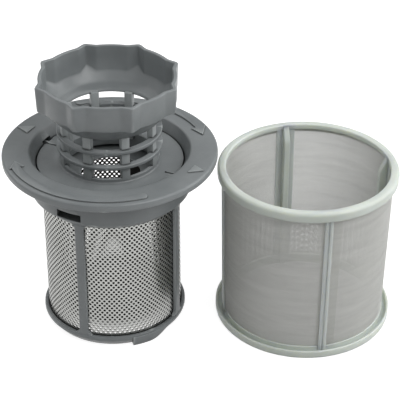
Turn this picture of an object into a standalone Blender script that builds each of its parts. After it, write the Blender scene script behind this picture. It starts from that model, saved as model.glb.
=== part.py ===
"""A dishwasher filter, taken apart as for rinsing, in metres with +Z up.

Two assemblies stand side by side on one surface. On the left is the coarse
filter: a moulded body that holds a perforated steel tube, and a moulded insert
with the grip, the funnel and the slotted neck, which snaps into the body's
recess. On the right is the fine sleeve: a moulded frame with a tube of woven
steel mesh, which slides over the perforated tube from below.

The origin is on the standing surface, in the middle of the pair. The front of
both assemblies faces -Y. Azimuths are degrees from +X, seen from above.
"""

import math

import bmesh
import bpy
from mathutils import Matrix

MM = 0.001

# Fits and fineness
TOUCH_GAP = 0.3 * MM
MERGE_DISTANCE = 0.00001
BODY_SEGMENTS = 44
INSERT_SEGMENTS = 40
SHEET_SEGMENTS = 40
SLEEVE_SEGMENTS = 44
ROUND_STEPS = 2
ARC_STEPS = 3
SMOOTH_ANGLE = math.radians(32)
CUTTER_OVERRUN = 3.0 * MM

# How the two assemblies stand and how they are turned
AXIS_SPACING = 106.0 * MM
FILTER_AZIMUTH = -113.2
SLEEVE_AZIMUTH = -79.5

# Flange of the coarse filter
FLANGE_RADIUS = 57.5 * MM
RIM_HEIGHT = 4.0 * MM
RIM_ROUND = 1.2 * MM
RIM_BASE_CHAMFER = 0.5 * MM
RIM_LIP_WIDTH = 2.3 * MM
RIM_STEP = 1.7 * MM
RECESS_DEPTH = 8.5 * MM
RECESS_FLARE = 2.0 * MM
RECESS_ROUND = 1.4 * MM
SHELF_WIDTH = 3.4 * MM
SHELF_THICKNESS = 2.0 * MM

# Skirt and collar under the flange
SKIRT_COVER = 4.0 * MM
SKIRT_WALL = 2.0 * MM
SKIRT_HEIGHT = 16.0 * MM
SKIRT_FILLET = 1.5 * MM
COLLAR_TAPER_HEIGHT = 3.8 * MM
SLOT_AZIMUTH = -117.8
SLOT_SPAN = 19.5
SLOT_HEIGHT = 4.2 * MM
SLOT_SILL = 0.8 * MM

# Cage with its ribs, and the perforated tube that it holds
SHEET_INSET = 2.0 * MM
SHEET_THICKNESS = 0.6 * MM
SHEET_COVER = 2.2 * MM
SHEET_STOP = 1.2 * MM
RIB_DEPTH = 1.7 * MM
RIB_WIDTH = 4.9 * MM
RIB_COUNT = 4
WINDOW_HEIGHT = 71.7 * MM
WINDOW_CHAMFER = 2.0 * MM
PERFORATION_DIAMETER = 4.4 * MM
PERFORATION_SIDES = 6
PERFORATION_ROWS = 5
PERFORATIONS_PER_PANEL = 4
PERFORATION_MARGIN = 6.0 * MM

# Base ring with its bayonet lugs
BASE_PROUD = 0.4 * MM
BASE_HEIGHT = 6.5 * MM
BASE_EDGE_LOW = 4.2 * MM
BASE_EDGE_HIGH = 5.6 * MM
BASE_FOOT_INSET = 3.2 * MM
BASE_WALL = 4.8 * MM
BASE_LEDGE_HEIGHT = 3.5 * MM
LUG_AZIMUTH = -56.5
LUG_SPAN = 32.0
LUG_PROUD = 0.5 * MM
LUG_LIFT = 0.5 * MM

# Insert: disc, spigot and snap tabs
DISC_RADIUS = 39.2 * MM
DISC_CLEARANCE = 0.5 * MM
DISC_THICKNESS = 2.2 * MM
SPIGOT_HEIGHT = 4.5 * MM
SPIGOT_WALL = 1.6 * MM
TAB_AZIMUTH = -24.0
TAB_WIDTH = 7.0 * MM
TAB_REACH = 2.0 * MM
TAB_HEIGHT = 2.2 * MM
TAB_RAISE = 1.2 * MM
TAB_SLIT_WIDTH = 0.9 * MM
TAB_SLIT_LENGTH = 6.6 * MM
NOTCH_CLEARANCE = 1.0 * MM

# Insert: slotted neck
NECK_BORE_RADIUS = 24.6 * MM
NECK_RADIUS = 26.4 * MM
NECK_COLLAR_HEIGHT = 3.9 * MM
NECK_FILLET = 1.4 * MM
NECK_TAIL = 3.0 * MM
POST_COUNT = 8
POST_WIDTH = 4.5 * MM
POST_INSET = 1.6 * MM
FIN_RADIUS = 28.0 * MM
FIN_THICKNESS = 2.0 * MM
FIN_COUNT = 2
FIN_PITCH = 8.9 * MM
THROAT_GAP = 7.4 * MM

# Insert: funnel and grip
THROAT_ROUND = 2.2 * MM
THROAT_FLARE = 1.2 * MM
FUNNEL_HEIGHT = 9.0 * MM
FUNNEL_SEAT_RADIUS = 29.5 * MM
FUNNEL_SEAT_RISE = 3.4 * MM
GRIP_HEIGHT = 14.0 * MM
GRIP_LOBES = 8
GRIP_LOBE_RADIUS = 39.4 * MM
GRIP_LOBE_ANGLE = 112.0
GRIP_LOBE_TIP = 1.0 * MM
GRIP_ARC_RADIUS = 36.0 * MM
GRIP_WALL = 2.0 * MM
GRIP_EDGE = 0.6 * MM

# Fine sleeve
SLEEVE_MESH_BASE_RADIUS = 44.9 * MM
SLEEVE_MESH_FLARE = 1.2 * MM
SLEEVE_RING_OUTSIDE = 2.7 * MM
SLEEVE_RING_INSIDE = 1.9 * MM
SLEEVE_RING_HEIGHT = 5.7 * MM
SLEEVE_RING_ROUND = 1.3 * MM
SLEEVE_MESH_THICKNESS = 0.4 * MM
SLEEVE_MESH_LENGTH = 81.4 * MM
SLEEVE_FOOT_OUTSIDE = 4.0 * MM
SLEEVE_FOOT_INSIDE = 1.9 * MM
SLEEVE_FOOT_HEIGHT = 5.5 * MM
SLEEVE_FOOT_FLOOR = 1.8 * MM
SLEEVE_LIP_WALL = 1.2 * MM
SLEEVE_LIP_HEIGHT = 4.6 * MM
SLEEVE_FOOT_ROUND = 1.2 * MM
SLEEVE_RIB_COUNT = 4
SLEEVE_RIB_WIDTH = 5.2 * MM
SLEEVE_RIB_PROUD = 0.9 * MM
SLEEVE_BAND_WIDTH = 10.5 * MM
SLEEVE_BAND_DEPTH = 0.9 * MM
SLEEVE_RIDGE_WIDTH = 2.5 * MM
SLEEVE_RIDGE_DEPTH = 0.8 * MM

# Radii of the cage and its skirt, counted from the disc that lies in them
SHEET_RADIUS = DISC_RADIUS - SHEET_INSET
CAGE_BORE_RADIUS = SHEET_RADIUS + TOUCH_GAP
CAGE_RADIUS = CAGE_BORE_RADIUS + RIB_DEPTH
BASE_RADIUS = CAGE_RADIUS + BASE_PROUD
BASE_FOOT_RADIUS = BASE_RADIUS - BASE_FOOT_INSET
BASE_BORE_RADIUS = BASE_RADIUS - BASE_WALL
LUG_RADIUS = BASE_RADIUS + LUG_PROUD
SKIRT_RADIUS = DISC_RADIUS + SKIRT_COVER
SKIRT_BORE_RADIUS = SKIRT_RADIUS - SKIRT_WALL
RECESS_RADIUS = DISC_RADIUS + DISC_CLEARANCE
SHELF_BORE_RADIUS = RECESS_RADIUS - SHELF_WIDTH

# Radii of the sleeve, counted from the foot of its mesh
SLEEVE_MESH_TOP_RADIUS = SLEEVE_MESH_BASE_RADIUS + SLEEVE_MESH_FLARE
SLEEVE_RING_RADIUS = SLEEVE_MESH_TOP_RADIUS + SLEEVE_RING_OUTSIDE
SLEEVE_RING_BORE = SLEEVE_MESH_TOP_RADIUS - SLEEVE_RING_INSIDE
SLEEVE_FOOT_RADIUS = SLEEVE_MESH_BASE_RADIUS + SLEEVE_FOOT_OUTSIDE
SLEEVE_FOOT_BORE = SLEEVE_MESH_BASE_RADIUS - SLEEVE_FOOT_INSIDE

# Places along X, so that the pair is centred on the origin
PAIR_WIDTH = FLANGE_RADIUS + AXIS_SPACING + SLEEVE_FOOT_RADIUS
FILTER_X = FLANGE_RADIUS - PAIR_WIDTH / 2
SLEEVE_X = FILTER_X + AXIS_SPACING

# Heights of the coarse filter, counted up from the standing surface
COLLAR_LOW = BASE_HEIGHT + WINDOW_HEIGHT
SKIRT_LOW = COLLAR_LOW + COLLAR_TAPER_HEIGHT
SHEET_TOP = COLLAR_LOW + SHEET_COVER
FLANGE_LOW = SKIRT_LOW + SKIRT_HEIGHT
RIM_LOW = FLANGE_LOW + RIM_STEP
FLANGE_TOP = RIM_LOW + RIM_HEIGHT
DISC_TOP = FLANGE_TOP - RECESS_DEPTH
DISC_LOW = DISC_TOP - DISC_THICKNESS
SHELF_TOP = DISC_LOW - TOUCH_GAP
SHELF_LOW = SHELF_TOP - SHELF_THICKNESS

# Heights of the insert
NECK_LOW_RING = DISC_TOP + NECK_COLLAR_HEIGHT
THROAT_LOW = NECK_LOW_RING + FIN_COUNT * FIN_PITCH + THROAT_GAP
GRIP_LOW = THROAT_LOW + FUNNEL_HEIGHT
GRIP_TOP = GRIP_LOW + GRIP_HEIGHT
TAB_LOW = DISC_TOP + TAB_RAISE - TAB_HEIGHT
TAB_TOP = DISC_TOP + TAB_RAISE

# Heights of the sleeve
SLEEVE_MESH_LOW = SLEEVE_FOOT_HEIGHT + TOUCH_GAP
SLEEVE_MESH_TOP = SLEEVE_MESH_LOW + SLEEVE_MESH_LENGTH
SLEEVE_RING_LOW = SLEEVE_MESH_TOP + TOUCH_GAP
SLEEVE_RING_TOP = SLEEVE_RING_LOW + SLEEVE_RING_HEIGHT

# Colours: name, base colour, roughness, metallic
GREY_PLASTIC = ("grey_plastic", (0.17, 0.185, 0.19), 0.45, 0.0)
PERFORATED_STEEL = ("perforated_steel", (0.68, 0.68, 0.66), 0.28, 1.0)
NATURAL_PLASTIC = ("natural_plastic", (0.66, 0.73, 0.69), 0.4, 0.0)
WOVEN_STEEL = ("woven_steel", (0.52, 0.52, 0.5), 0.38, 1.0)


def clear_scene():
    for obj in list(bpy.data.objects):
        bpy.data.objects.remove(obj, do_unlink=True)


def new_collection(name):
    collection = bpy.data.collections.new(name)
    bpy.context.scene.collection.children.link(collection)
    return collection


def new_material(name, colour, roughness, metallic):
    material = bpy.data.materials.new(name)
    material.use_nodes = True
    shader = material.node_tree.nodes["Principled BSDF"]
    shader.inputs["Base Color"].default_value = (*colour, 1.0)
    shader.inputs["Roughness"].default_value = roughness
    shader.inputs["Metallic"].default_value = metallic
    material.diffuse_color = (*colour, 1.0)
    return material


def new_axis(name, x):
    axis = bpy.data.objects.new(name, None)
    axis.location = (x, 0.0, 0.0)
    axis.empty_display_size = FLANGE_RADIUS
    bpy.context.scene.collection.objects.link(axis)
    return axis


class Workshop:
    """Makes the shapes of one assembly around its own upright axis."""

    def __init__(self, axis, parts, cutters):
        self.axis = axis
        self.parts = parts
        self.cutters = cutters

    def place(self, name, mesh, material=None):
        """An object on the axis: a part if it has a material, and otherwise a cutter."""
        obj = bpy.data.objects.new(name, mesh)
        obj.parent = self.axis
        if material:
            obj.data.materials.append(material)
            self.parts.objects.link(obj)
        else:
            obj.hide_render = True
            obj.display_type = "WIRE"
            self.cutters.objects.link(obj)
        return obj

    def turned(self, name, profile, segments, material=None, closed=True):
        """A solid of revolution. The profile of (radius, height) runs down its outer side."""
        mesh = bpy.data.meshes.new(name)
        points = [(radius, 0.0, height) for radius, height in profile]
        edges = [(i, i + 1) for i in range(len(points) - 1)]
        if closed:
            edges.append((len(points) - 1, 0))
        mesh.from_pydata(points, edges, [])
        obj = self.place(name, mesh, material)
        screw = obj.modifiers.new("Turn", "SCREW")
        screw.axis = "Z"
        screw.angle = math.tau
        screw.steps = segments
        screw.render_steps = segments
        screw.use_merge_vertices = True
        screw.merge_threshold = MERGE_DISTANCE
        screw.use_smooth_shade = True
        return obj

    def prism(self, name, outline, low, high):
        """A flat outline of (x, y) points, extruded upwards between two heights."""
        curve = bpy.data.curves.new(name, "CURVE")
        curve.dimensions = "2D"
        curve.fill_mode = "BOTH"
        curve.extrude = (high - low) / 2
        spline = curve.splines.new("POLY")
        spline.points.add(len(outline) - 1)
        for point, (x, y) in zip(spline.points, outline):
            point.co = (x, y, 0.0, 1.0)
        spline.use_cyclic_u = True
        guide = bpy.data.objects.new(name + "_outline", curve)
        self.cutters.objects.link(guide)
        graph = bpy.context.evaluated_depsgraph_get()
        mesh = bpy.data.meshes.new_from_object(guide.evaluated_get(graph))
        bpy.data.objects.remove(guide)
        mesh.transform(Matrix.Translation((0.0, 0.0, (low + high) / 2)))
        work = bmesh.new()
        work.from_mesh(mesh)
        bmesh.ops.remove_doubles(work, verts=work.verts, dist=MERGE_DISTANCE)
        bmesh.ops.recalc_face_normals(work, faces=work.faces)
        work.to_mesh(mesh)
        work.free()
        mesh.name = name
        return self.place(name, mesh)

    def blocks(self, name, azimuths, inner, outer, width, low, high):
        """Radial blocks, one at each azimuth, between two radii and two heights."""
        work = bmesh.new()
        for azimuth in azimuths:
            size = Matrix.Diagonal((outer - inner, width, high - low, 1.0))
            shift = Matrix.Translation(((inner + outer) / 2, 0.0, (low + high) / 2))
            turn = Matrix.Rotation(math.radians(azimuth), 4, "Z")
            bmesh.ops.create_cube(work, size=1.0, matrix=turn @ shift @ size)
        mesh = bpy.data.meshes.new(name)
        work.to_mesh(mesh)
        work.free()
        return self.place(name, mesh)

    def wedge(self, name, azimuths, span, inner, outer, low, high, chamfer=0.0):
        """Sectors with radial sides and flat front and back, widening outwards.

        A chamfer cuts the corners of each sector as seen along its radius.
        """
        half = math.radians(span / 2)
        work = bmesh.new()
        for azimuth in azimuths:
            rings = []
            for distance in (inner, outer):
                reach = distance * math.tan(half)
                cut = chamfer * distance / CAGE_RADIUS
                corners = wedge_outline(reach, low, high, cut, chamfer)
                rings.append([work.verts.new((distance, y, z)) for y, z in corners])
            count = len(rings[0])
            work.faces.new(rings[1])
            work.faces.new(list(reversed(rings[0])))
            for i in range(count):
                j = (i + 1) % count
                work.faces.new((rings[0][i], rings[0][j], rings[1][j], rings[1][i]))
            fresh = rings[0] + rings[1]
            turn = Matrix.Rotation(math.radians(azimuth), 4, "Z")
            bmesh.ops.transform(work, matrix=turn, verts=fresh)
        bmesh.ops.recalc_face_normals(work, faces=work.faces)
        mesh = bpy.data.meshes.new(name)
        work.to_mesh(mesh)
        work.free()
        return self.place(name, mesh)


def wedge_outline(reach, low, high, cut, drop):
    """The (y, z) corners of a rectangle, with its corners cut off if cut isn't zero."""
    if not cut:
        return [(-reach, low), (reach, low), (reach, high), (-reach, high)]
    return [
        (cut - reach, low),
        (reach - cut, low),
        (reach, low + drop),
        (reach, high - drop),
        (reach - cut, high),
        (cut - reach, high),
        (-reach, high - drop),
        (-reach, low + drop),
    ]


def boolean(target, tool, operation):
    modifier = target.modifiers.new(f"{operation.title()} {tool.name}", "BOOLEAN")
    modifier.operation = operation
    modifier.solver = "EXACT"
    modifier.object = tool


def join(target, *tools):
    for tool in tools:
        boolean(target, tool, "UNION")


def cut(target, *tools):
    for tool in tools:
        boolean(target, tool, "DIFFERENCE")


def around(start, count):
    """Evenly spaced azimuths, beginning at one of them."""
    return [start + 360.0 * i / count for i in range(count)]


def rounded(corner_radius, corner_height, radius, outward, upward):
    """Points of a quarter round at the corner of a profile, on the side that is named.

    outward and upward are 1 or -1: where the solid's corner points. The points run
    from the level side of the corner to its upright side.
    """
    points = []
    for i in range(ROUND_STEPS + 1):
        angle = math.radians(90.0 * i / ROUND_STEPS)
        points.append(
            (
                corner_radius - outward * radius * (1 - math.sin(angle)),
                corner_height - upward * radius * (1 - math.cos(angle)),
            )
        )
    return points


def body_profile():
    """Section of the moulded body, from the flange's rim down, in and up again."""
    rim_top = rounded(FLANGE_RADIUS, FLANGE_TOP, RIM_ROUND, 1, 1)
    lip_radius = FLANGE_RADIUS - RIM_LIP_WIDTH
    outside = [
        (FLANGE_RADIUS, RIM_LOW + RIM_BASE_CHAMFER),
        (FLANGE_RADIUS - RIM_BASE_CHAMFER, RIM_LOW),
        (lip_radius, RIM_LOW),
        (lip_radius, FLANGE_LOW),
        (SKIRT_RADIUS + SKIRT_FILLET, FLANGE_LOW),
        (SKIRT_RADIUS, FLANGE_LOW - SKIRT_FILLET),
        (SKIRT_RADIUS, SKIRT_LOW),
        (CAGE_RADIUS, COLLAR_LOW),
        (CAGE_RADIUS, BASE_HEIGHT),
        (BASE_RADIUS, BASE_EDGE_HIGH),
        (BASE_RADIUS, BASE_EDGE_LOW),
        (BASE_FOOT_RADIUS, 0.0),
    ]
    inside = [
        (BASE_BORE_RADIUS, 0.0),
        (BASE_BORE_RADIUS, BASE_LEDGE_HEIGHT),
        (CAGE_BORE_RADIUS, BASE_LEDGE_HEIGHT),
        (CAGE_BORE_RADIUS, SHEET_TOP + TOUCH_GAP),
        (BASE_BORE_RADIUS, SHEET_TOP + TOUCH_GAP),
        (BASE_BORE_RADIUS, SHEET_TOP + TOUCH_GAP + SHEET_STOP),
        (SKIRT_BORE_RADIUS, SHEET_TOP + 2 * SHEET_STOP),
        (SKIRT_BORE_RADIUS, SHELF_LOW),
        (SHELF_BORE_RADIUS, SHELF_LOW),
        (SHELF_BORE_RADIUS, SHELF_TOP),
        (RECESS_RADIUS, SHELF_TOP),
    ]
    mouth_radius = RECESS_RADIUS + RECESS_FLARE
    recess_top = rounded(mouth_radius, FLANGE_TOP, RECESS_ROUND, -1, 1)
    return rim_top + outside + inside + list(reversed(recess_top))


def make_filter_body(shop, material):
    """Flange, recess, skirt, rib cage and base ring, moulded in one piece."""
    body = shop.turned("filter_body", body_profile(), BODY_SEGMENTS, material)

    rib_span = math.degrees(RIB_WIDTH / CAGE_RADIUS)
    window_azimuths = around(FILTER_AZIMUTH + 180.0 / RIB_COUNT, RIB_COUNT)
    windows = shop.wedge(
        "cage_windows",
        window_azimuths,
        360.0 / RIB_COUNT - rib_span,
        CAGE_BORE_RADIUS / 2,
        CAGE_RADIUS * 1.15,
        BASE_HEIGHT,
        COLLAR_LOW,
        WINDOW_CHAMFER,
    )
    slots = shop.wedge(
        "skirt_slots",
        around(SLOT_AZIMUTH, 2),
        SLOT_SPAN,
        SKIRT_BORE_RADIUS - CUTTER_OVERRUN,
        SKIRT_RADIUS + CUTTER_OVERRUN,
        SKIRT_LOW + SLOT_SILL,
        SKIRT_LOW + SLOT_SILL + SLOT_HEIGHT,
    )
    notch_radius = DISC_RADIUS + TAB_REACH + NOTCH_CLEARANCE / 2
    notches = shop.blocks(
        "tab_notches",
        around(TAB_AZIMUTH, 2),
        DISC_RADIUS - CUTTER_OVERRUN,
        notch_radius,
        TAB_WIDTH + 2 * NOTCH_CLEARANCE,
        TAB_LOW - TOUCH_GAP,
        TAB_TOP + 2 * NOTCH_CLEARANCE,
    )
    cut(body, windows, slots, notches)

    lug_ring = shop.turned(
        "lug_ring",
        [
            (LUG_RADIUS, BASE_EDGE_HIGH),
            (LUG_RADIUS, LUG_LIFT),
            (BASE_BORE_RADIUS + TOUCH_GAP, LUG_LIFT),
            (BASE_BORE_RADIUS + TOUCH_GAP, BASE_LEDGE_HEIGHT - TOUCH_GAP),
            (CAGE_RADIUS - TOUCH_GAP, BASE_LEDGE_HEIGHT - TOUCH_GAP),
            (CAGE_RADIUS - TOUCH_GAP, BASE_EDGE_HIGH),
        ],
        BODY_SEGMENTS,
    )
    lug_sectors = shop.wedge(
        "lug_sectors",
        around(LUG_AZIMUTH, 2),
        LUG_SPAN,
        BASE_BORE_RADIUS / 2,
        LUG_RADIUS + CUTTER_OVERRUN,
        -CUTTER_OVERRUN,
        BASE_HEIGHT + CUTTER_OVERRUN,
    )
    boolean(lug_ring, lug_sectors, "INTERSECT")
    join(body, lug_ring)
    return body


def make_perforated_tube(shop, material):
    """The rolled steel tube. Its holes are coarser than the real ones, with one to a facet."""
    low = BASE_LEDGE_HEIGHT + TOUCH_GAP
    high = SHEET_TOP
    inner = SHEET_RADIUS - SHEET_THICKNESS
    tube = shop.turned(
        "perforated_tube",
        [(SHEET_RADIUS, high), (SHEET_RADIUS, low), (inner, low), (inner, high)],
        SHEET_SEGMENTS,
        material,
    )
    tube.rotation_euler.z = math.radians(FILTER_AZIMUTH)
    facet = 360.0 / SHEET_SEGMENTS
    facets_per_panel = SHEET_SEGMENTS // RIB_COUNT
    rise = WINDOW_HEIGHT - 2 * PERFORATION_MARGIN
    work = bmesh.new()
    for row in range(PERFORATION_ROWS):
        height = BASE_HEIGHT + PERFORATION_MARGIN + rise * row / (PERFORATION_ROWS - 1)
        for panel in range(RIB_COUNT):
            for column in range(PERFORATIONS_PER_PANEL):
                index = panel * facets_per_panel + 2 * column + 1 + row % 2
                turn = Matrix.Rotation(math.radians((index + 0.5) * facet), 4, "Z")
                shift = Matrix.Translation((SHEET_RADIUS, 0.0, height))
                lay = Matrix.Rotation(math.radians(90.0), 4, "Y")
                bmesh.ops.create_cone(
                    work,
                    cap_ends=True,
                    segments=PERFORATION_SIDES,
                    radius1=PERFORATION_DIAMETER / 2,
                    radius2=PERFORATION_DIAMETER / 2,
                    depth=2 * CUTTER_OVERRUN,
                    matrix=turn @ shift @ lay,
                )
    mesh = bpy.data.meshes.new("perforations")
    work.to_mesh(mesh)
    work.free()
    holes = shop.place("perforations", mesh)
    holes.rotation_euler.z = tube.rotation_euler.z
    cut(tube, holes)
    return tube


def grip_outline(lobe_radius, arc_radius):
    """A circle with pointed lobes on it, each with a blunt tip, for fingers to hold."""
    half = math.radians(GRIP_LOBE_ANGLE / 2)
    along = lobe_radius * math.cos(half)
    aside = lobe_radius * math.sin(half)
    flank = along - math.sqrt(arc_radius**2 - aside**2)
    foot_turn = math.asin(flank * math.sin(half) / arc_radius)
    points = []
    for azimuth in around(FILTER_AZIMUTH, GRIP_LOBES):
        lobe = math.radians(azimuth)
        for sign in (-1, 1):
            x = lobe_radius - GRIP_LOBE_TIP * math.cos(half)
            y = sign * GRIP_LOBE_TIP * math.sin(half)
            points.append(turned_point(x, y, lobe))
        free = math.tau / GRIP_LOBES - 2 * foot_turn
        for i in range(ARC_STEPS + 1):
            points.append(polar(arc_radius, lobe + foot_turn + free * i / ARC_STEPS))
    return points


def turned_point(x, y, angle):
    return (
        x * math.cos(angle) - y * math.sin(angle),
        x * math.sin(angle) + y * math.cos(angle),
    )


def polar(radius, angle):
    return (radius * math.cos(angle), radius * math.sin(angle))


def make_coarse_insert(shop, material):
    """Disc, slotted neck, funnel and grip, moulded in one piece."""
    spigot_radius = SHELF_BORE_RADIUS - TOUCH_GAP
    neck_wall = [
        (NECK_RADIUS, NECK_LOW_RING),
        (NECK_RADIUS, DISC_TOP + NECK_FILLET),
        (NECK_RADIUS + NECK_FILLET, DISC_TOP),
    ]
    disc_edge = [
        (DISC_RADIUS, DISC_TOP),
        (DISC_RADIUS, DISC_LOW),
        (spigot_radius, DISC_LOW),
        (spigot_radius, DISC_LOW - SPIGOT_HEIGHT),
        (spigot_radius - SPIGOT_WALL, DISC_LOW - SPIGOT_HEIGHT),
        (spigot_radius - SPIGOT_WALL, DISC_LOW),
    ]
    neck_tail = [
        (NECK_RADIUS, DISC_LOW),
        (NECK_RADIUS, DISC_LOW - NECK_TAIL),
        (NECK_BORE_RADIUS, DISC_LOW - NECK_TAIL),
        (NECK_BORE_RADIUS, NECK_LOW_RING),
    ]
    profile = neck_wall + disc_edge + neck_tail
    insert = shop.turned("coarse_insert", profile, INSERT_SEGMENTS, material)

    for number in range(FIN_COUNT):
        top = NECK_LOW_RING + (number + 1) * FIN_PITCH
        low = top - FIN_THICKNESS
        fin_profile = [
            (FIN_RADIUS, top),
            (FIN_RADIUS, low),
            (NECK_BORE_RADIUS, low),
            (NECK_BORE_RADIUS, top),
        ]
        fin = shop.turned(f"neck_fin_{number + 1}", fin_profile, INSERT_SEGMENTS)
        join(insert, fin)

    grip = make_grip(shop)
    posts = shop.blocks(
        "neck_posts",
        around(FILTER_AZIMUTH, POST_COUNT),
        NECK_BORE_RADIUS - POST_INSET,
        NECK_RADIUS,
        POST_WIDTH,
        NECK_LOW_RING - FIN_THICKNESS,
        THROAT_LOW + TOUCH_GAP * 3,
    )
    join(insert, grip, posts)

    slit_azimuths = []
    slit_turn = math.degrees((TAB_WIDTH + TAB_SLIT_WIDTH) / 2 / DISC_RADIUS)
    for azimuth in around(TAB_AZIMUTH, 2):
        slit_azimuths += [azimuth - slit_turn, azimuth + slit_turn]
    slits = shop.blocks(
        "tab_slits",
        slit_azimuths,
        DISC_RADIUS - TAB_SLIT_LENGTH,
        DISC_RADIUS + CUTTER_OVERRUN,
        TAB_SLIT_WIDTH,
        DISC_LOW - CUTTER_OVERRUN / 2,
        DISC_TOP + CUTTER_OVERRUN / 2,
    )
    cut(insert, slits)
    tabs = shop.blocks(
        "snap_tabs",
        around(TAB_AZIMUTH, 2),
        DISC_RADIUS - TAB_REACH,
        DISC_RADIUS + TAB_REACH,
        TAB_WIDTH - 2 * TOUCH_GAP,
        TAB_LOW,
        TAB_TOP,
    )
    join(insert, tabs)
    return insert


def make_grip(shop):
    """The grip ring above the funnel, with the funnel's floor cut into it."""
    outline = grip_outline(GRIP_LOBE_RADIUS, GRIP_ARC_RADIUS)
    grip = shop.prism("grip_block", outline, GRIP_LOW, GRIP_TOP)
    edge = grip.modifiers.new("Edge", "BEVEL")
    edge.width = GRIP_EDGE
    edge.segments = 1
    edge.limit_method = "ANGLE"
    edge.angle_limit = math.radians(60)

    seat = GRIP_ARC_RADIUS - GRIP_WALL
    seat_height = GRIP_LOW - GRIP_EDGE
    underside = seat + 0.7 * GRIP_WALL
    funnel_block = shop.turned(
        "funnel_block",
        [
            (0.0, GRIP_LOW + GRIP_EDGE * 2),
            (underside, GRIP_LOW + GRIP_EDGE * 2),
            (underside, GRIP_LOW),
            (NECK_RADIUS + THROAT_FLARE, THROAT_LOW),
            (0.0, THROAT_LOW),
        ],
        INSERT_SEGMENTS,
        closed=False,
    )
    join(grip, funnel_block)

    throat_height = THROAT_LOW + THROAT_ROUND / 2
    steep = (seat_height - (THROAT_LOW + FUNNEL_SEAT_RISE)) / (seat - FUNNEL_SEAT_RADIUS)
    far_radius = GRIP_LOBE_RADIUS + CUTTER_OVERRUN
    bowl = shop.turned(
        "bowl",
        [
            (0.0, GRIP_TOP + CUTTER_OVERRUN),
            (far_radius, GRIP_TOP + CUTTER_OVERRUN),
            (far_radius, seat_height + steep * (far_radius - seat)),
            (seat, seat_height),
            (FUNNEL_SEAT_RADIUS, THROAT_LOW + FUNNEL_SEAT_RISE),
            (NECK_RADIUS + THROAT_FLARE / 3, THROAT_LOW + THROAT_ROUND),
            (NECK_BORE_RADIUS + THROAT_FLARE / 2, throat_height + THROAT_FLARE / 2),
            (NECK_BORE_RADIUS, throat_height),
            (NECK_BORE_RADIUS, THROAT_LOW - CUTTER_OVERRUN),
            (0.0, THROAT_LOW - CUTTER_OVERRUN),
        ],
        INSERT_SEGMENTS,
        closed=False,
    )
    inner_lobe = GRIP_LOBE_RADIUS - GRIP_WALL / math.sin(math.radians(GRIP_LOBE_ANGLE / 2))
    inner_outline = grip_outline(inner_lobe, GRIP_ARC_RADIUS - GRIP_WALL)
    inside = shop.prism(
        "grip_inside",
        inner_outline,
        THROAT_LOW - 2 * CUTTER_OVERRUN,
        GRIP_TOP + 2 * CUTTER_OVERRUN,
    )
    boolean(bowl, inside, "INTERSECT")
    cut(grip, bowl)
    return grip


def band_profile(inner_offset, outer_offset):
    """Section of an upright band that follows the sleeve's tapered wall."""
    low = SLEEVE_FOOT_FLOOR / 2
    high = SLEEVE_RING_LOW + SLEEVE_RING_HEIGHT / 3
    slope = (SLEEVE_MESH_TOP_RADIUS - SLEEVE_MESH_BASE_RADIUS) / SLEEVE_MESH_LENGTH
    low_radius = SLEEVE_MESH_BASE_RADIUS + slope * (low - SLEEVE_MESH_LOW)
    high_radius = SLEEVE_MESH_BASE_RADIUS + slope * (high - SLEEVE_MESH_LOW)
    return [
        (high_radius + outer_offset, high),
        (low_radius + outer_offset, low),
        (low_radius + inner_offset, low),
        (high_radius + inner_offset, high),
    ]


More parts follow.
